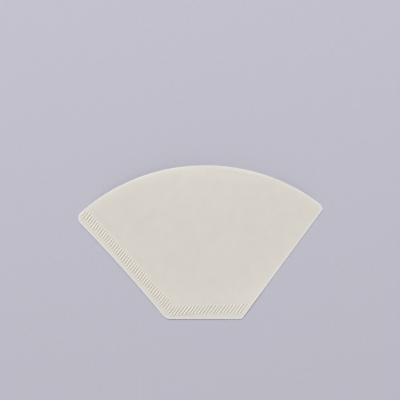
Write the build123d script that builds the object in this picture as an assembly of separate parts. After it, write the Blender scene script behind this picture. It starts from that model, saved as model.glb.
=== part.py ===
from build123d import *
import math
import os

# Cone coffee filter: one blank of filter paper, folded over along its right-hand side into two
# plies. A slanted crimp presses the plies together along the left-hand side and the bottom, and
# the curved mouth stays open. The filter lies on its back ply, with the front ply domed above it.
# It is drawn with +X towards the fold, +Y towards the mouth and +Z up, from the middle of the
# bottom edge, and is moved at the end so that the origin is at the middle of its underside.
# Lengths are in millimetres and angles in degrees.

# Paper
paper_thickness = 0.2

# Outline of the folded filter
bottom_width = 51.1
filter_height = 103.3
seam_side_lean = 41.9
seam_side_hollow = 1.0
fold_side_lean = 36.5
mouth_radius = 127.2
mouth_center_shift = 1.1
seam_top_corner_radius = 5.0
seam_bottom_corner_radius = 6.6
fold_corner_run = 3.1
fold_corner_drop = 1.5

# Crimp: ridges parallel to the fold, in one band along the seam side and one along the bottom.
# A ridge's profile has a flat trough and a flat crest, as shares of its pitch and of its height.
crimp_pitch = 1.83
crimp_height = 0.25
ridge_profile_shares = ((0, 0), (0.3, 0), (0.5, 1), (0.8, 1))
seam_margin = 3.8
seam_band_width = 5.9
bottom_margin = 3.2
bottom_band_width = 5.9
crimp_mouth_gap = 1.2
crimp_fold_gap = 0.7
pressed_land = 0.8

# Pocket between the plies: its height at the middle of the mouth, how that height is spread from
# the seam to the fold, and how it grows from the bottom to the mouth
mouth_gap = 7.5
across_rise_shares = (0, 1.33, 1.33, 0)
along_rise_shares = (0, 0.3, 0.95, 1)

# Lip of the front ply, cut flatter than the back ply so that a strip of the back ply shows
lip_radius = 400.0
lip_drop = 3.0
lip_bearing = 10.0
lip_floor_share = 0.3

cut_overrun = 6.0

# Worked out from the sizes above
two_plies = 2 * paper_thickness
mouth_center = Vector(mouth_center_shift, filter_height - mouth_radius)
bottom_seam_corner = Vector(-bottom_width / 2, 0)
bottom_fold_corner = Vector(bottom_width / 2, 0)
fold_direction = Vector(math.sin(math.radians(fold_side_lean)), math.cos(math.radians(fold_side_lean)))
seam_direction = Vector(-math.sin(math.radians(seam_side_lean)), math.cos(math.radians(seam_side_lean)))
away_from_fold = Vector(-fold_direction.Y, fold_direction.X)
drawing_top = filter_height + cut_overrun


def seam_point(inset, y):
    """The point at height y on the line that lies inset from the seam side."""
    lean = math.radians(seam_side_lean)
    return Vector(-bottom_width / 2 - y * math.tan(lean) + inset / math.cos(lean), y)


def fold_point(inset, y):
    """The point at height y on the line that lies inset from the fold."""
    lean = math.radians(fold_side_lean)
    return Vector(bottom_width / 2 + y * math.tan(lean) - inset / math.cos(lean), y)


def on_mouth(start, direction):
    """The point where a line from start along direction meets the mouth's arc."""
    from_center = start - mouth_center
    along = from_center.dot(direction)
    short = from_center.dot(from_center) - mouth_radius**2
    return start + direction * (math.sqrt(along**2 - short) - along)


def mouth_disc(inset):
    """The disc whose rim lies inset from the mouth's arc."""
    return Pos(mouth_center.X, mouth_center.Y) * Circle(mouth_radius - inset)


# Where the seam side would meet the mouth if that corner weren't rounded
top_seam_corner = on_mouth(bottom_seam_corner, seam_direction)


def between(start, end, share):
    """The point that lies the given share of the way from start to end."""
    return start + (end - start) * share


def polygon(*points):
    """The flat face with these corners."""
    return make_face(Polyline(*points, close=True))


def fold_corner_relief():
    """The tip that is taken off where the fold reaches the mouth."""
    tip = on_mouth(bottom_fold_corner, fold_direction)
    low_end = tip - fold_direction * fold_corner_drop
    turn = math.degrees(fold_corner_run / mouth_radius)
    high_end = mouth_center + (tip - mouth_center).rotate(Axis.Z, turn)
    past_fold = low_end + (low_end - high_end).normalized() * cut_overrun
    outward = (low_end - high_end).normalized().rotate(Axis.Z, 90) * cut_overrun
    return polygon(high_end, past_fold, past_fold + outward, high_end + outward)


def flat_outline(fold_inset):
    """The filter's outline, with its fold side lying fold_inset in from the fold."""
    sides = polygon(
        seam_point(0, 0),
        fold_point(fold_inset, 0),
        fold_point(fold_inset, drawing_top),
        seam_point(0, drawing_top),
    )
    outline = (sides & mouth_disc(0)) - fold_corner_relief()
    seam_side = Line(bottom_seam_corner, top_seam_corner)
    hollow_side = SagittaArc(bottom_seam_corner, top_seam_corner, -seam_side_hollow)
    outline -= make_face([seam_side, hollow_side])
    outline = fillet(outline.vertices().sort_by_distance(top_seam_corner)[0], seam_top_corner_radius)
    return fillet(outline.vertices().sort_by_distance(bottom_seam_corner)[0], seam_bottom_corner_radius)


def crimp_band():
    """The angled strip that the crimp covers, along the seam side and the bottom."""
    seam_inner = seam_margin + seam_band_width
    bottom_inner = bottom_margin + bottom_band_width
    strip = polygon(
        seam_point(seam_margin, bottom_margin),
        fold_point(crimp_fold_gap, bottom_margin),
        fold_point(crimp_fold_gap, bottom_inner),
        seam_point(seam_inner, bottom_inner),
        seam_point(seam_inner, drawing_top),
        seam_point(seam_margin, drawing_top),
    )
    return strip & mouth_disc(crimp_mouth_gap)


# A section across the fold: its X is the distance in from the fold, and its Y is the height
fold_section = Plane(bottom_fold_corner, x_dir=away_from_fold, z_dir=fold_direction)


def ridge_line(trough_height):
    """The points of a line of ridges across the whole sheet, from the crimp's first trough."""
    far_side = (top_seam_corner - bottom_fold_corner).dot(away_from_fold)
    ridges = math.ceil((far_side - crimp_fold_gap) / crimp_pitch)
    return [
        (crimp_fold_gap + (ridge + across) * crimp_pitch, trough_height + rise * crimp_height)
        for ridge in range(ridges)
        for across, rise in ridge_profile_shares
    ]


def crimped_plies():
    """Both plies pressed into ridges, as wide as the crimp's band."""
    section = fold_section * polygon(*ridge_line(0), *reversed(ridge_line(two_plies)))
    return extrude(section, drawing_top, both=True) & extrude(crimp_band(), two_plies + crimp_height)


def pocket_space():
    """The space between the plies, from the pressed land out past the mouth."""
    seam_inner = seam_margin + seam_band_width + pressed_land
    bottom_inner = bottom_margin + bottom_band_width + pressed_land
    floor = Vector(0, 0, paper_thickness)
    seam_ends = [seam_point(seam_inner, y) for y in (bottom_inner, drawing_top)]
    fold_ends = [fold_point(paper_thickness, y) for y in (bottom_inner, drawing_top)]
    spans = len(across_rise_shares) - 1
    rows = []
    for row, along_share in enumerate(along_rise_shares):
        start = between(*seam_ends, row / spans) + floor
        end = between(*fold_ends, row / spans) + floor
        rises = [Vector(0, 0, mouth_gap * along_share * share) for share in across_rise_shares]
        rows.append([between(start, end, column / spans) + rise for column, rise in enumerate(rises)])
    roof = Face.make_bezier_surface(rows)
    corners = [rows[0][0], rows[0][-1], rows[-1][-1], rows[-1][0]]
    arch = roof.edges().sort_by(Axis.Y)[-1]
    open_end = Face(Wire([arch, Edge.make_line(corners[3], corners[2])]))
    return Solid(Shell([roof, Face(Wire.make_polygon(corners)), open_end]))


def fold_bend():
    """The round of paper that joins the two plies along the fold."""
    center = Pos(paper_thickness, paper_thickness)
    outer_half = Pos(0, paper_thickness) * Rectangle(
        paper_thickness, two_plies, align=(Align.MIN, Align.CENTER)
    )
    section = center * Circle(paper_thickness) & outer_half
    return extrude(fold_section * section, drawing_top / fold_direction.Y, both=True)


def lip_cut():
    """What is taken off the front ply's mouth, down to about the middle of the pocket."""
    bearing = Vector(0, 1).rotate(Axis.Z, -lip_bearing)
    lip_center = mouth_center + bearing * (mouth_radius - lip_drop - lip_radius)
    crescent = mouth_disc(-cut_overrun) - Pos(lip_center.X, lip_center.Y) * Circle(lip_radius)
    floor = paper_thickness + lip_floor_share * mouth_gap
    return Pos(0, 0, floor) * extrude(crescent, two_plies + mouth_gap)


def folded_filter():
    """The whole sheet: flat plies, crimp, fold, and the front ply lifted over the pocket."""
    pocket = pocket_space()
    lifted_ply = Pos(0, 0, paper_thickness) * pocket
    flat_plies = extrude(flat_outline(paper_thickness) - crimp_band(), two_plies)
    trim = extrude(flat_outline(-cut_overrun), two_plies + 2 * mouth_gap)
    sheet = flat_plies + (lifted_ply & trim) + (fold_bend() & trim) - pocket - lip_cut()
    return sheet + crimped_plies()


filter_paper = folded_filter()
middle = filter_paper.bounding_box().center()
filter_paper = Pos(-middle.X, -middle.Y, 0) * filter_paper

os.makedirs("parts", exist_ok=True)
export_step(filter_paper.solid(), "parts/filter_paper.step")
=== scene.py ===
import math
import random
from collections import namedtuple

import bpy
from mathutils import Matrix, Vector, noise
from mathutils.geometry import delaunay_2d_cdt


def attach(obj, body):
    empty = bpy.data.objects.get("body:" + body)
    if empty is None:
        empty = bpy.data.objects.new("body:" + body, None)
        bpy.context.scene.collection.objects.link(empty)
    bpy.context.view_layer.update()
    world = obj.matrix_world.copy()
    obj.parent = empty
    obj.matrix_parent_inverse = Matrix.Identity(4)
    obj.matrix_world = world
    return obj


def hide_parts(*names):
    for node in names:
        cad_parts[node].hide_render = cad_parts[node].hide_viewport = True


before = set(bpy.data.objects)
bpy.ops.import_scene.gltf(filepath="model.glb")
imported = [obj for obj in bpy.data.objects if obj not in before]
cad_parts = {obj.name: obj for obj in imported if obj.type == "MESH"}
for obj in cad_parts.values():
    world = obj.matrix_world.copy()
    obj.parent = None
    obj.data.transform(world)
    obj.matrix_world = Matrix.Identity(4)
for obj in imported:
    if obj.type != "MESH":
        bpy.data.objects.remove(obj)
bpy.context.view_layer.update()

# A cone coffee filter: one blank of filter paper, folded along its right-hand side into two plies
# and crimped along its left-hand side and its bottom. It lies on its back ply, seen from above.
# The plan is drawn in millimetres from the middle of the bottom edge, with +x towards the fold and
# +y towards the mouth, and becomes metres in the CAD frame when the mesh is made. Angles are in
# degrees.
MM = 0.001

# Paper
PAPER = 0.2
PLY_GAP = 0.03

# Outline of the folded filter
BOTTOM_WIDTH = 51.1
FILTER_HEIGHT = 103.3
SEAM_LEAN = 41.9
SEAM_HOLLOW = 1.0
FOLD_LEAN = 36.5
FOLD_BULGE = 0.1
FOLD_HOLLOW = 0.01
MOUTH_RADIUS = 127.2
MOUTH_CENTER_SHIFT = 1.1
TOP_CORNER_RADIUS = 5.0
BOTTOM_CORNER_RADIUS = 6.6
FOLD_CORNER_RUN = 3.1
FOLD_CORNER_DROP = 1.5

# Lip of the front ply, cut flatter than the back ply
LIP_RADIUS = 400.0
LIP_DROP = 3.0
LIP_BEARING = 10.0
LIP_ROUND_RADIUS = 60.0

# Crimp: ridges parallel to the fold, in a band along the seam side and the bottom. Its height fades
# at the band's borders, and beside the band the sheet falls from a share of that height.
CRIMP_PITCH = 1.83
CRIMP_HEIGHT = 0.75
CRIMP_FADE = 0.5
CREST_PLACE_SHARE = 0.5
CREST_FULLNESS = 1.5
BESIDE_CRIMP_SHARE = 0.45
MARGIN_FALL = 5.0
INNER_FALL = 14.0
CRIMP_MOUTH_GAP = 1.2
CRIMP_FOLD_GAP = 1.0
SEAM_MARGIN = 3.8
SEAM_BAND = 5.9
BOTTOM_MARGIN = 2.85
BOTTOM_BAND = 6.25
BOTTOM_BAND_TILT = 1.7

# How much the ridges differ: in height and place as shares of a ridge, and in where they end
RIDGE_HEIGHT_SPREAD_SHARE = 0.22
RIDGE_SHIFT_SPREAD_SHARE = 0.08
RIDGE_END_SPREAD = 0.5
RIDGE_SEED = 7

# Pocket between the plies, from the pressed land beside the crimp out past the mouth. The lip of the
# front ply curls down, and its very edge is flared up again.
PRESSED_LAND = 0.8
POCKET_OVERRUN = 6.0
MOUTH_GAP = 7.5
ACROSS_RISE_SHARES = (0, 1.33, 1.33, 0)
ALONG_RISE_SHARES = (0, 0.3, 0.95, 1)
DOME_EASE = 2.0
FOLD_OPENING = 0.12
LIP_CURL = 0.5
LIP_CURL_REACH = 8.0
LIP_FLARE = 0.16
LIP_FLARE_REACH = 1.3

# Slackness of the paper: how far in it starts, the lift that gives it half of its play, how far the
# margins part, and the height, length and noise layer of its waves
SLACK_EASE = 5.0
HALF_PLAY_LIFT = 1.0
MARGIN_PARTING = 0.05
MARGIN_WAVE_SHARE = 0.5
MARGIN_WAVE_LENGTH = 18.0
MARGIN_WAVE_LAYER = 3
FRONT_WAVE = 0.15
FRONT_WAVE_LENGTH = 28.0
FRONT_WAVE_LAYER = 1
LIP_WAVE = 0.25
LIP_WAVE_LENGTH = 18.0
LIP_WAVE_LAYER = 2
LIP_WAVE_REACH = 12.0
BACK_WAVE = 0.12
BACK_WAVE_LENGTH = 35.0
BACK_WAVE_LAYER = 4

# Mesh: the distances between its points along the edges, on the crimp, near it and elsewhere
EDGE_STEP = 0.8
EDGE_ROWS = (0.2, 0.6, 1.2)
EDGE_ROW_SLIP = 0.2
EDGE_CLEARANCE = 0.3
RIDGE_COLUMNS = 10
RIDGE_STEP = 0.4
CRIMP_SURROUND = 0.6
CRIMP_CLEARANCE = 0.2
NEAR_CRIMP_STEP = 0.8
NEAR_CRIMP_REACH = 1.5
PLAIN_STEP = 1.6
MERGE_DISTANCE = 1e-6
BEND_STEPS = 8
SHARP_ANGLE = 50

# The triangulation's own number for keeping only what lies inside the outline
KEEP_INSIDE = 1

# Painted shade and light: how far up a ridge the paper has its middle tone, with painted shade in the
# troughs below it and a painted highlight on the crests above it, and how far a painted highlight
# reaches in from a cut edge and painted light in from the fold
MIDDLE_TONE_CREST_SHARE = 0.44
EDGE_HIGHLIGHT_REACH = 0.7
FOLD_LIGHT_REACH = 14.0


def turned(vector, angle):
    """The plan vector turned anticlockwise by an angle in radians."""
    cosine, sine = math.cos(angle), math.sin(angle)
    return Vector((vector.x * cosine - vector.y * sine, vector.x * sine + vector.y * cosine))


def eased(share):
    """A smooth step from 0 to 1 as share goes from 0 to 1."""
    share = min(max(share, 0), 1)
    return share * share * (3 - 2 * share)


def bezier(shares, place):
    """The cubic Bezier curve with these four heights, at a place from 0 to 1."""
    rest = 1 - place
    weights = (rest**3, 3 * place * rest**2, 3 * place**2 * rest, place**3)
    return sum(weight * share for weight, share in zip(weights, shares))


# Directions and corners of the plan
seam_lean = math.radians(SEAM_LEAN)
fold_lean = math.radians(FOLD_LEAN)
fold_direction = Vector((math.sin(fold_lean), math.cos(fold_lean)))
away_from_fold = turned(fold_direction, math.pi / 2)
seam_direction = Vector((-math.sin(seam_lean), math.cos(seam_lean)))
away_from_seam = turned(seam_direction, -math.pi / 2)
bottom_seam_corner = Vector((-BOTTOM_WIDTH / 2, 0))
bottom_fold_corner = Vector((BOTTOM_WIDTH / 2, 0))
mouth_center = Vector((MOUTH_CENTER_SHIFT, FILTER_HEIGHT - MOUTH_RADIUS))
lip_bearing = turned(Vector((0, 1)), -math.radians(LIP_BEARING))
lip_center = mouth_center + lip_bearing * (MOUTH_RADIUS - LIP_DROP - LIP_RADIUS)
seam_land = SEAM_MARGIN + SEAM_BAND + PRESSED_LAND
bottom_land = BOTTOM_MARGIN + BOTTOM_BAND + PRESSED_LAND


def seam_inset(point):
    """How far a point lies in from the straight line of the seam side."""
    return (point - bottom_seam_corner).dot(away_from_seam)


def fold_inset(point):
    """How far a point lies in from the fold."""
    return (point - bottom_fold_corner).dot(away_from_fold)


def mouth_inset(point):
    """How far a point lies in from the mouth's arc."""
    return MOUTH_RADIUS - (point - mouth_center).length


def band_height(point):
    """How far a point lies above the bottom, from a line that tilts as the bottom's band does."""
    return point.y - point.x * math.tan(math.radians(BOTTOM_BAND_TILT))


def on_mouth(start, direction):
    """The point where a line from start along direction meets the mouth's arc."""
    from_center = start - mouth_center
    along = from_center.dot(direction)
    short = from_center.dot(from_center) - MOUTH_RADIUS**2
    return start + direction * (math.sqrt(along**2 - short) - along)


def circles_cross(first, first_radius, second, second_radius):
    """The two points where two circles cross."""
    apart = second - first
    along = (apart.length_squared + first_radius**2 - second_radius**2) / (2 * apart.length)
    across = math.sqrt(first_radius**2 - along**2)
    direction = apart.normalized()
    foot = first + direction * along
    step = turned(direction, math.pi / 2) * across
    return foot + step, foot - step


def rim_point(center, through, radius):
    """The point of a circle in the direction of another point."""
    return center + (through - center).normalized() * radius


# The seam side is an arc that hollows in from the chord between its corners
top_seam_corner = on_mouth(bottom_seam_corner, seam_direction)
half_chord = (top_seam_corner - bottom_seam_corner) / 2
hollow_radius = (half_chord.length_squared + SEAM_HOLLOW**2) / (2 * SEAM_HOLLOW)
hollow_center = bottom_seam_corner + half_chord - away_from_seam * (hollow_radius - SEAM_HOLLOW)

# A rounded corner, from where it starts to where it ends, anticlockwise
Round = namedtuple("Round", "center radius start end")


def top_corner():
    """The round between the mouth and the seam side."""
    from_mouth = MOUTH_RADIUS - TOP_CORNER_RADIUS
    from_seam = hollow_radius + TOP_CORNER_RADIUS
    centers = circles_cross(mouth_center, from_mouth, hollow_center, from_seam)
    center = max(centers, key=lambda point: point.y)
    start = rim_point(mouth_center, center, MOUTH_RADIUS)
    end = rim_point(hollow_center, center, hollow_radius)
    return Round(center, TOP_CORNER_RADIUS, start, end)


def bottom_corner():
    """The round between the seam side and the bottom."""
    from_seam = hollow_radius + BOTTOM_CORNER_RADIUS
    rise = BOTTOM_CORNER_RADIUS - hollow_center.y
    center = Vector((hollow_center.x + math.sqrt(from_seam**2 - rise**2), BOTTOM_CORNER_RADIUS))
    start = rim_point(hollow_center, center, hollow_radius)
    return Round(center, BOTTOM_CORNER_RADIUS, start, Vector((center.x, 0)))


def lip_corners():
    """The rounds at the left and right ends of the front ply's lip."""
    from_mouth = MOUTH_RADIUS - LIP_ROUND_RADIUS
    from_lip = LIP_RADIUS - LIP_ROUND_RADIUS
    centers = circles_cross(mouth_center, from_mouth, lip_center, from_lip)
    left, right = sorted(centers, key=lambda point: point.x)
    on_arc = [rim_point(mouth_center, center, MOUTH_RADIUS) for center in (left, right)]
    on_lip = [rim_point(lip_center, center, LIP_RADIUS) for center in (left, right)]
    left_round = Round(left, LIP_ROUND_RADIUS, on_lip[0], on_arc[0])
    return left_round, Round(right, LIP_ROUND_RADIUS, on_arc[1], on_lip[1])


# The rounded corners, and the ends of the tip that is cut off at the fold
top_round = top_corner()
bottom_round = bottom_corner()
lip_left_round, lip_right_round = lip_corners()
fold_tip = on_mouth(bottom_fold_corner, fold_direction)
cut_low_end = fold_tip - fold_direction * FOLD_CORNER_DROP
cut_high_end = mouth_center + turned(fold_tip - mouth_center, FOLD_CORNER_RUN / MOUTH_RADIUS)
cut_inward = turned(cut_high_end - cut_low_end, math.pi / 2).normalized()


def line(start, end):
    """Points along a straight edge, without its last one."""
    steps = max(1, round((end - start).length / EDGE_STEP))
    return [start.lerp(end, step / steps) for step in range(steps)]


def arc(center, start, end):
    """Points along an arc, the shorter way round, without its last one."""
    spoke = start - center
    last_spoke = end - center
    sweep = math.atan2(spoke.cross(last_spoke), spoke.dot(last_spoke))
    steps = max(1, round(abs(sweep) * spoke.length / EDGE_STEP))
    return [center + turned(spoke, sweep * step / steps) for step in range(steps)]


def corner_arc(corner):
    """Points along a rounded corner, without its last one."""
    return arc(corner.center, corner.start, corner.end)


# The plies end on this line, and the round of the fold bulges out from it
fold_start = bottom_fold_corner - Vector((FOLD_BULGE / math.cos(fold_lean), 0))
fold_end = cut_low_end.lerp(cut_high_end, FOLD_BULGE / fold_inset(cut_high_end))
fold_line = line(fold_start, fold_end) + [fold_end]


def ply_outline(is_front):
    """A ply's outline, anticlockwise, starting with the points of the fold."""
    mouth = arc(mouth_center, cut_high_end, top_round.start)
    if is_front:
        mouth = (
            arc(mouth_center, cut_high_end, lip_right_round.start)
            + corner_arc(lip_right_round)
            + arc(lip_center, lip_right_round.end, lip_left_round.start)
            + corner_arc(lip_left_round)
            + arc(mouth_center, lip_left_round.end, top_round.start)
        )
    return (
        fold_line
        + line(fold_end, cut_high_end)[1:]
        + mouth
        + corner_arc(top_round)
        + arc(hollow_center, top_round.end, bottom_round.start)
        + corner_arc(bottom_round)
        + line(bottom_round.end, fold_start)
    )


def in_sector(point, corner):
    """Whether a point lies between the two ends of a rounded corner, seen from its center."""
    spoke = point - corner.center
    after_start = (corner.start - corner.center).cross(spoke) >= 0
    return after_start and spoke.cross(corner.end - corner.center) >= 0


def least_inset(point, insets, corners):
    """The least of a point's insets, with these rounded corners taken into account."""
    rounded = [
        corner.radius - (point - corner.center).length for corner in corners if in_sector(point, corner)
    ]
    return min(insets + rounded)


def lip_inset(point):
    """How far a point lies in from the front ply's lip."""
    insets = [mouth_inset(point), LIP_RADIUS - (point - lip_center).length]
    return least_inset(point, insets, [lip_left_round, lip_right_round])


def edge_inset(point, is_front):
    """How far a point lies inside a ply's outline; negative outside it."""
    from_mouth = lip_inset(point) if is_front else mouth_inset(point)
    from_seam = (point - hollow_center).length - hollow_radius
    from_cut = (point - cut_low_end).dot(cut_inward)
    insets = [from_mouth, from_seam, from_cut, point.y, fold_inset(point) - FOLD_BULGE]
    return least_inset(point, insets, [top_round, bottom_round])


def past_margin(point):
    """How far a point lies in from the free margin along the seam side and the bottom."""
    return min(seam_inset(point) - SEAM_MARGIN, band_height(point) - BOTTOM_MARGIN)


def short_of_inside(point):
    """How far a point lies out from the inner side of the crimp's angled band."""
    return max(
        SEAM_MARGIN + SEAM_BAND - seam_inset(point),
        BOTTOM_MARGIN + BOTTOM_BAND - band_height(point),
    )


def crimp_inset(point):
    """How far a point lies inside the crimp's angled band; negative outside it."""
    return min(
        past_margin(point),
        short_of_inside(point),
        mouth_inset(point) - CRIMP_MOUTH_GAP,
        fold_inset(point) - CRIMP_FOLD_GAP,
    )


# Each ridge is pressed a little differently
ridge_count = math.ceil(fold_inset(top_seam_corner) / CRIMP_PITCH)
ridge_luck = random.Random(RIDGE_SEED)


def spread(width):
    """One random number for each ridge, up to width either side of zero."""
    return [ridge_luck.uniform(-width, width) for _ in range(ridge_count)]


ridge_heights = spread(RIDGE_HEIGHT_SPREAD_SHARE)
ridge_ends = spread(RIDGE_END_SPREAD)
ridge_shifts = spread(RIDGE_SHIFT_SPREAD_SHARE)


def across_ridges(values, ridge):
    """A value that each ridge has at its crest, and that changes smoothly from ridge to ridge."""
    place = min(max(ridge - CREST_PLACE_SHARE, 0), ridge_count - 1)
    number = min(math.floor(place), ridge_count - 2)
    share = eased(place - number)
    return (1 - share) * values[number] + share * values[number + 1]


def crimp_press(point):
    """How firmly the crimp presses a point, and how far up an even ridge it lies, both as shares."""
    ridge = (fold_inset(point) - CRIMP_FOLD_GAP) / CRIMP_PITCH
    pressed = eased((crimp_inset(point) + across_ridges(ridge_ends, ridge)) / CRIMP_FADE)
    turn = 2 * math.pi * (ridge + across_ridges(ridge_shifts, ridge) - CREST_PLACE_SHARE)
    trough = (1 - math.cos(turn)) / 2
    crest = 1 - trough**CREST_FULLNESS
    return pressed, crest * (1 + across_ridges(ridge_heights, ridge))


def crimp_rise(point):
    """How far the crimp lifts the sheet, on its ridges and beside them."""
    pressed, crest = crimp_press(point)
    margin_share = eased(1 + past_margin(point) / MARGIN_FALL)
    inner_share = eased(1 + short_of_inside(point) / INNER_FALL)
    beside = BESIDE_CRIMP_SHARE * margin_share * inner_share
    return CRIMP_HEIGHT * (pressed * crest + (1 - pressed) * beside)


def pocket_place(point):
    """A point's place in the pocket, as shares from the seam to the fold and from bottom to mouth."""
    left = -BOTTOM_WIDTH / 2 - point.y * math.tan(seam_lean) + seam_land / math.cos(seam_lean)
    right = BOTTOM_WIDTH / 2 + point.y * math.tan(fold_lean) - PAPER / math.cos(fold_lean)
    across = (point.x - left) / (right - left)
    along = (point.y - bottom_land) / (FILTER_HEIGHT + POCKET_OVERRUN - bottom_land)
    return min(max(across, 0), 1), max(along, 0)


def wave(point, length, layer):
    """A smooth random height from about -1 to 1, with waves of the given length."""
    return noise.noise(Vector((point.x / length, point.y / length, layer)))


def pocket_rise(point):
    """How far the front ply is lifted off the back ply."""
    across, along = pocket_place(point)
    dome = MOUTH_GAP * bezier(ACROSS_RISE_SHARES, across) * bezier(ALONG_RISE_SHARES, along)
    dome *= eased((seam_inset(point) - seam_land) / DOME_EASE)
    lift = dome + FOLD_OPENING * across * along
    play = lift / (lift + HALF_PLAY_LIFT)
    from_lip = max(lip_inset(point), 0)
    curl = LIP_CURL * max(1 - from_lip / LIP_CURL_REACH, 0) ** 2
    flare = LIP_FLARE * max(1 - from_lip / LIP_FLARE_REACH, 0) ** 2
    flare *= eased((mouth_inset(point) - from_lip) / LIP_DROP)
    lip_wave = LIP_WAVE * wave(point, LIP_WAVE_LENGTH, LIP_WAVE_LAYER)
    lip_wave *= math.exp(-from_lip / LIP_WAVE_REACH)
    front_wave = FRONT_WAVE * wave(point, FRONT_WAVE_LENGTH, FRONT_WAVE_LAYER)
    return lift + play * (front_wave + lip_wave + flare - curl)


def margin_parting(point):
    """How far the plies part in the free margin outside the crimp."""
    past_seam_band = 1 - seam_inset(point) / SEAM_MARGIN
    past_bottom_band = 1 - band_height(point) / BOTTOM_MARGIN
    outside = max(past_seam_band, past_bottom_band)
    unevenness = 1 + MARGIN_WAVE_SHARE * wave(point, MARGIN_WAVE_LENGTH, MARGIN_WAVE_LAYER)
    return MARGIN_PARTING * eased(outside) * unevenness * eased(fold_inset(point) / SLACK_EASE)


def ply_heights(point, is_front):
    """The heights of a ply's underside and upper side."""
    pressed, _ = crimp_press(point)
    slack = (1 - pressed) * eased(edge_inset(point, False) / SLACK_EASE)
    back_wave = BACK_WAVE * (1 + wave(point, BACK_WAVE_LENGTH, BACK_WAVE_LAYER)) / 2
    underside = crimp_rise(point) + slack * back_wave
    if is_front:
        underside += PAPER + PLY_GAP + pocket_rise(point) + margin_parting(point)
    return underside, underside + PAPER


def crimp_points():
    """Points in columns along the crimp's ridges."""
    column_step = CRIMP_PITCH / RIDGE_COLUMNS
    columns = math.ceil(fold_inset(top_seam_corner) / column_step)
    rows = math.ceil((fold_tip - bottom_fold_corner).length / RIDGE_STEP)
    for column in range(columns):
        foot = bottom_fold_corner + away_from_fold * (CRIMP_FOLD_GAP + column * column_step)
        for row in range(-rows, rows):
            point = foot + fold_direction * row * RIDGE_STEP
            if crimp_inset(point) > -CRIMP_SURROUND:
                yield point


def lattice_points(step):
    """Points of a triangular lattice over the whole plan."""
    row_step = step * math.sqrt(3) / 2
    left = top_seam_corner.x
    for row in range(math.ceil(FILTER_HEIGHT / row_step)):
        for column in range(math.ceil((fold_tip.x - left) / step)):
            yield Vector((left + (column + row % 2 / 2) * step, row * row_step))


def edge_rows(outline, is_front):
    """Rows of points that follow a ply's outline a little way inside it."""
    for before, here, after in zip(outline[-1:] + outline[:-1], outline, outline[1:] + outline[:1]):
        inward = turned(after - before, math.pi / 2).normalized()
        for row in EDGE_ROWS:
            point = here + inward * row
            if abs(edge_inset(point, is_front) - row) < EDGE_ROW_SLIP:
                yield point


def inner_points():
    """All points inside the outline: close along the crimp and wider apart elsewhere."""
    surround = CRIMP_SURROUND + CRIMP_CLEARANCE
    points = list(crimp_points())
    points += [
        point
        for point in lattice_points(NEAR_CRIMP_STEP)
        if -NEAR_CRIMP_REACH < crimp_inset(point) < -surround
    ]
    points += [point for point in lattice_points(PLAIN_STEP) if crimp_inset(point) <= -NEAR_CRIMP_REACH]
    return points


def flat_ply(is_front, points):
    """A ply's plan: its points, its triangles, and the places among the points of its outline."""
    outline = ply_outline(is_front)
    clear_of_rows = EDGE_ROWS[-1] + EDGE_CLEARANCE
    inside = list(edge_rows(outline, is_front))
    inside += [point for point in points if edge_inset(point, is_front) > clear_of_rows]
    loop = list(range(len(outline)))
    plan, _, triangles, sources, _, _ = delaunay_2d_cdt(
        outline + inside, [], [loop], KEEP_INSIDE, MERGE_DISTANCE
    )
    places = {source[0]: place for place, source in enumerate(sources)}
    return plan, triangles, [places[index] for index in loop]


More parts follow.
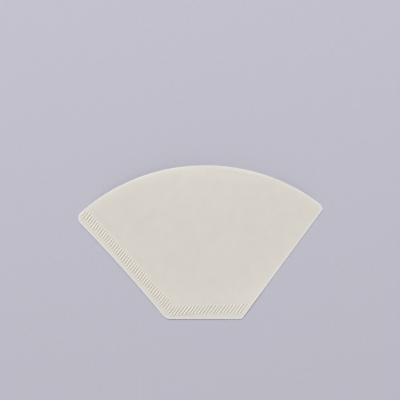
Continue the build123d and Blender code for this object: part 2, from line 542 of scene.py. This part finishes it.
class SheetMesh:
    """The vertices and faces of the sheet, with shares that tell its painted shade and light at each
    vertex.
    """

    def __init__(self):
        self.vertices = []
        self.faces = []
        self.shares = {"crest": [], "edge": [], "fold": [], "inside": []}

    def add(self, point, height, inset, is_inside):
        """Adds a vertex that lies inset from the nearest edge or fold, on an inner or outer face."""
        pressed, crest = crimp_press(point)
        self.vertices.append((point.x, point.y, height))
        # Painted shade in the crimp's troughs and a painted highlight on its crests
        self.shares["crest"].append(pressed * (crest - MIDDLE_TONE_CREST_SHARE))
        # A painted highlight along the cut edges and the fold's round
        self.shares["edge"].append(math.exp(-inset / EDGE_HIGHLIGHT_REACH))
        # Painted light: paler within reach of the fold
        self.shares["fold"].append(math.exp(-max(fold_inset(point), 0) / FOLD_LIGHT_REACH))
        # Painted light: the inner faces are paler, to offset the shade between the plies
        self.shares["inside"].append(float(is_inside))
        return len(self.vertices) - 1

    def add_ply(self, is_front, points):
        """Adds one ply and gives back its upper and lower vertices along the fold."""
        plan, triangles, rim = flat_ply(is_front, points)
        uppers, lowers = [], []
        for point in plan:
            low, high = ply_heights(point, is_front)
            # The lip gets no painted highlight, so the front ply too takes its inset from the back
            # ply's outline
            inset = max(edge_inset(point, False), 0)
            lowers.append(self.add(point, low, inset, is_front))
            uppers.append(self.add(point, high, inset, not is_front))
        for first, second, third in triangles:
            self.faces.append((uppers[first], uppers[second], uppers[third]))
            self.faces.append((lowers[third], lowers[second], lowers[first]))
        cut_rim = rim[len(fold_line) - 1 :] + rim[:1]
        for here, after in zip(cut_rim, cut_rim[1:]):
            self.faces.append((lowers[here], lowers[after], uppers[after], uppers[here]))
        fold_rim = rim[: len(fold_line)]
        return [uppers[place] for place in fold_rim], [lowers[place] for place in fold_rim]

    def bend(self, tops, bottoms, bulges, is_inside):
        """A half round from each top vertex to the bottom one below it, as columns of vertices."""
        columns = []
        for top, bottom, foot, bulge in zip(tops, bottoms, fold_line, bulges):
            high = self.vertices[top][2]
            low = self.vertices[bottom][2]
            column = [top]
            for step in range(1, BEND_STEPS):
                angle = math.pi * step / BEND_STEPS
                height = (high + low) / 2 + (high - low) / 2 * math.cos(angle)
                column.append(self.add(foot + bulge * math.sin(angle), height, 0, is_inside))
            columns.append(column + [bottom])
        return columns

    def add_strip(self, column, after):
        """Adds the faces between two columns of a half round."""
        for step in range(BEND_STEPS):
            self.faces.append((column[step], column[step + 1], after[step + 1], after[step]))

    def add_fold(self, front_uppers, front_lowers, back_uppers, back_lowers):
        """Joins the two plies with the round of the fold."""
        bulges = [-away_from_fold * FOLD_BULGE for _ in fold_line]
        bulges[0] = bottom_fold_corner - fold_start
        bulges[-1] = cut_low_end - fold_end
        inner_bulges = [bulge * FOLD_HOLLOW / FOLD_BULGE for bulge in bulges]
        outer = self.bend(front_uppers, back_lowers, bulges, False)
        inner = self.bend(front_lowers, back_uppers, inner_bulges, True)
        round_and_back = outer + inner[::-1]
        for column, after in zip(round_and_back, round_and_back[1:] + outer[:1]):
            self.add_strip(column, after)


def folded_sheet():
    """The mesh object of the whole filter."""
    sheet = SheetMesh()
    points = inner_points()
    front_uppers, front_lowers = sheet.add_ply(True, points)
    back_uppers, back_lowers = sheet.add_ply(False, points)
    sheet.add_fold(front_uppers, front_lowers, back_uppers, back_lowers)
    xs = [x for x, _, _ in sheet.vertices]
    ys = [y for _, y, _ in sheet.vertices]
    middle = ((min(xs) + max(xs)) / 2, (min(ys) + max(ys)) / 2)
    vertices = [((x - middle[0]) * MM, (y - middle[1]) * MM, z * MM) for x, y, z in sheet.vertices]
    mesh = bpy.data.meshes.new("folded_sheet")
    mesh.from_pydata(vertices, [], sheet.faces)
    mesh.polygons.foreach_set("use_smooth", [True] * len(mesh.polygons))
    mesh.set_sharp_from_angle(angle=math.radians(SHARP_ANGLE))
    for name, values in sheet.shares.items():
        mesh.attributes.new(name, "FLOAT", "POINT").data.foreach_set("value", values)
    piece = bpy.data.objects.new("folded_sheet", mesh)
    bpy.context.collection.objects.link(piece)
    return piece


# Colours in linear light: the paper from its darkest fibres to its palest, the painted highlight along
# its cut edges, the floor, and the light from all round
PAPER_DARK = (0.550, 0.500, 0.415, 1)
PAPER_MIDDLE = (0.675, 0.640, 0.583, 1)
PAPER_PALE = (0.828, 0.800, 0.737, 1)
PAPER_EDGE_HIGHLIGHT = (0.820, 0.815, 0.805, 1)
FLOOR_DARK = (0.475, 0.470, 0.540, 1)
FLOOR_PALE = (0.515, 0.510, 0.580, 1)
WHITE = (1, 1, 1, 1)

# Noise whose largest spots are about size millimetres across
Grain = namedtuple("Grain", "size detail roughness distortion")
FELT = Grain(size=7.0, detail=3, roughness=0.55, distortion=0)
FIBRE = Grain(size=0.9, detail=6, roughness=0.7, distortion=1.5)
FLOOR_GRAIN = Grain(size=3.0, detail=4, roughness=0.6, distortion=0)

# Surfaces: the paper's tone from 0 at its darkest to 1 at its palest, how far felt, fibres and the
# painted shade and light by place move it, how far the painted highlight of the cut edges covers it,
# and how rough and glossy paper and floor are
MIDDLE_TONE = 0.5
FELT_SHARE = 0.16
FIBRE_SHARE = 0.3
PAINTED_SHADE_AND_LIGHT_SHARES = {"crest": 0.8, "fold": 0.09, "inside": 0.24}
EDGE_HIGHLIGHT_SHARE = 0.95
FIBRE_HEIGHT = 0.06
PAPER_ROUGHNESS = (0.86, 0.96)
PAPER_GLOSS = 0.2
FLOOR_ROUGHNESS = 0.9
FLOOR_GLOSS = 0.15


class Nodes:
    """A new material's nodes, with short ways to add and join them."""

    def __init__(self, name):
        self.material = bpy.data.materials.new(name)
        self.material.use_nodes = True
        self.tree = self.material.node_tree
        self.shader = self.tree.nodes["Principled BSDF"]
        self.place = self.tree.nodes.new("ShaderNodeTexCoord").outputs["Object"]

    def join(self, value, socket):
        """Links a node's output to a socket, or sets a plain number on it."""
        if isinstance(value, bpy.types.NodeSocket):
            self.tree.links.new(value, socket)
        else:
            socket.default_value = value

    def noise(self, grain):
        """Noise from 0 to 1 with this grain."""
        node = self.tree.nodes.new("ShaderNodeTexNoise")
        self.join(self.place, node.inputs["Vector"])
        node.inputs["Scale"].default_value = 1 / (grain.size * MM)
        node.inputs["Detail"].default_value = grain.detail
        node.inputs["Roughness"].default_value = grain.roughness
        node.inputs["Distortion"].default_value = grain.distortion
        return node.outputs["Fac"]

    def attribute(self, name):
        """A number that the mesh holds for each vertex."""
        node = self.tree.nodes.new("ShaderNodeAttribute")
        node.attribute_name = name
        return node.outputs["Fac"]

    def scaled(self, value, factor, plus):
        """value times factor, plus another value."""
        node = self.tree.nodes.new("ShaderNodeMath")
        node.operation = "MULTIPLY_ADD"
        for part, socket in zip((value, factor, plus), node.inputs):
            self.join(part, socket)
        return node.outputs["Value"]

    def ramp(self, share, *colours):
        """A colour from the first to the last of these, which are evenly spaced."""
        node = self.tree.nodes.new("ShaderNodeValToRGB")
        stops = node.color_ramp.elements
        for place in range(1, len(colours) - 1):
            stops.new(place / (len(colours) - 1))
        for stop, colour in zip(stops, colours):
            stop.color = colour
        self.join(share, node.inputs["Fac"])
        return node.outputs["Color"]

    def mix(self, share, low, high):
        """A colour that goes from low to high with the share."""
        node = self.tree.nodes.new("ShaderNodeMix")
        node.data_type = "RGBA"
        sockets = {socket.identifier: socket for socket in (*node.inputs, *node.outputs)}
        self.join(share, sockets["Factor_Float"])
        self.join(low, sockets["A_Color"])
        self.join(high, sockets["B_Color"])
        return sockets["Result_Color"]

    def bump(self, height, depth):
        """A normal for a rough surface, depth millimetres from its lowest to its highest."""
        node = self.tree.nodes.new("ShaderNodeBump")
        node.inputs["Distance"].default_value = depth * MM
        self.join(height, node.inputs["Height"])
        return node.outputs["Normal"]


def filter_paper_material():
    """Pale paper with cloudy felt and fine fibres, with painted shade and highlights on the crimp, a
    painted highlight on its cut edges and painted light near the fold and on its inner faces.
    """
    nodes = Nodes("filter_paper")
    fibre = nodes.noise(FIBRE)
    least_tone = MIDDLE_TONE - (FELT_SHARE + FIBRE_SHARE) / 2
    tone_and_painted_light = nodes.scaled(nodes.noise(FELT), FELT_SHARE, least_tone)
    tone_and_painted_light = nodes.scaled(fibre, FIBRE_SHARE, tone_and_painted_light)
    # Painted shade and light by place: on the crimp's ridges, near the fold and on the inner faces
    for name, share in PAINTED_SHADE_AND_LIGHT_SHARES.items():
        tone_and_painted_light = nodes.scaled(nodes.attribute(name), share, tone_and_painted_light)
    colour = nodes.ramp(tone_and_painted_light, PAPER_DARK, PAPER_MIDDLE, PAPER_PALE)
    # A painted highlight along the cut edges
    edge_highlight = nodes.scaled(nodes.attribute("edge"), EDGE_HIGHLIGHT_SHARE, 0)
    nodes.join(nodes.mix(edge_highlight, colour, PAPER_EDGE_HIGHLIGHT), nodes.shader.inputs["Base Color"])
    smooth, rough = PAPER_ROUGHNESS
    nodes.join(nodes.scaled(fibre, rough - smooth, smooth), nodes.shader.inputs["Roughness"])
    nodes.join(nodes.bump(fibre, FIBRE_HEIGHT), nodes.shader.inputs["Normal"])
    nodes.join(PAPER_GLOSS, nodes.shader.inputs["Specular IOR Level"])
    return nodes.material


def floor_material():
    """A plain pale studio floor with a faint grain."""
    nodes = Nodes("studio_floor")
    colour = nodes.ramp(nodes.noise(FLOOR_GRAIN), FLOOR_DARK, FLOOR_PALE)
    nodes.join(colour, nodes.shader.inputs["Base Color"])
    nodes.join(FLOOR_ROUGHNESS, nodes.shader.inputs["Roughness"])
    nodes.join(FLOOR_GLOSS, nodes.shader.inputs["Specular IOR Level"])
    return nodes.material


# Studio, in metres. Light is given in shares of what shows a colour on the floor as it is written.
FLOOR_SIZE = 6.0
FLOOR_DEPTH = 0.00005
LAMP_DISTANCE = 2.4
LAMP_SIZE = 1.4
AMBIENT_SHARE = 0.475
KEY_SHARE = 0.53
KEY_TOWARDS = (-0.3, 0.8, 1.0)
FILL_SHARE = 0.07
FILL_TOWARDS = (0.9, 0.3, 0.7)


def add_floor():
    """The floor that the filter lies on."""
    half = FLOOR_SIZE / 2
    corners = [(-half, -half, -FLOOR_DEPTH), (half, -half, -FLOOR_DEPTH)]
    corners += [(half, half, -FLOOR_DEPTH), (-half, half, -FLOOR_DEPTH)]
    mesh = bpy.data.meshes.new("studio_floor")
    mesh.from_pydata(corners, [], [(0, 1, 2, 3)])
    mesh.materials.append(floor_material())
    floor = bpy.data.objects.new("studio_floor", mesh)
    bpy.context.collection.objects.link(floor)


def add_lamp(name, direction, share):
    """A large soft lamp that gives the floor this share of light."""
    towards = Vector(direction).normalized()
    lamp = bpy.data.lights.new(name, "AREA")
    lamp.shape = "DISK"
    lamp.size = LAMP_SIZE
    lamp.energy = share * (math.pi * LAMP_DISTANCE) ** 2 / towards.z
    holder = bpy.data.objects.new(name, lamp)
    holder.location = towards * LAMP_DISTANCE
    holder.rotation_euler = towards.to_track_quat("Z", "Y").to_euler()
    bpy.context.collection.objects.link(holder)


def add_light():
    """Even light from all round, a key lamp past the mouth and a weak fill on the fold's side."""
    world = bpy.data.worlds.new("studio")
    world.use_nodes = True
    background = world.node_tree.nodes["Background"]
    background.inputs["Color"].default_value = WHITE
    background.inputs["Strength"].default_value = AMBIENT_SHARE
    bpy.context.scene.world = world
    add_lamp("key", KEY_TOWARDS, KEY_SHARE)
    add_lamp("fill", FILL_TOWARDS, FILL_SHARE)


# The photograph's frame: its size in pixels, and in millimetres the size of a pixel at the floor, the
# point at the middle of the view and the camera's height
PHOTO_PIXELS = 400
PIXEL = 0.6727
VIEW_MIDDLE = (-0.42, 28.40)
CAMERA_HEIGHT = 2500.0


def add_camera():
    """The camera, straight above the filter with the mouth at the top of the view."""
    camera = bpy.data.cameras.new("camera")
    camera.lens = camera.sensor_width * CAMERA_HEIGHT / (PHOTO_PIXELS * PIXEL)
    viewer = bpy.data.objects.new("camera", camera)
    viewer.location = Vector((*VIEW_MIDDLE, CAMERA_HEIGHT)) * MM
    bpy.context.collection.objects.link(viewer)
    bpy.context.scene.camera = viewer


add_camera()
add_floor()
add_light()
sheet_piece = folded_sheet()
sheet_piece.data.materials.append(filter_paper_material())
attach(sheet_piece, "root")
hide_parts("filter_paper")
bpy.context.scene.view_settings.view_transform = "Standard"
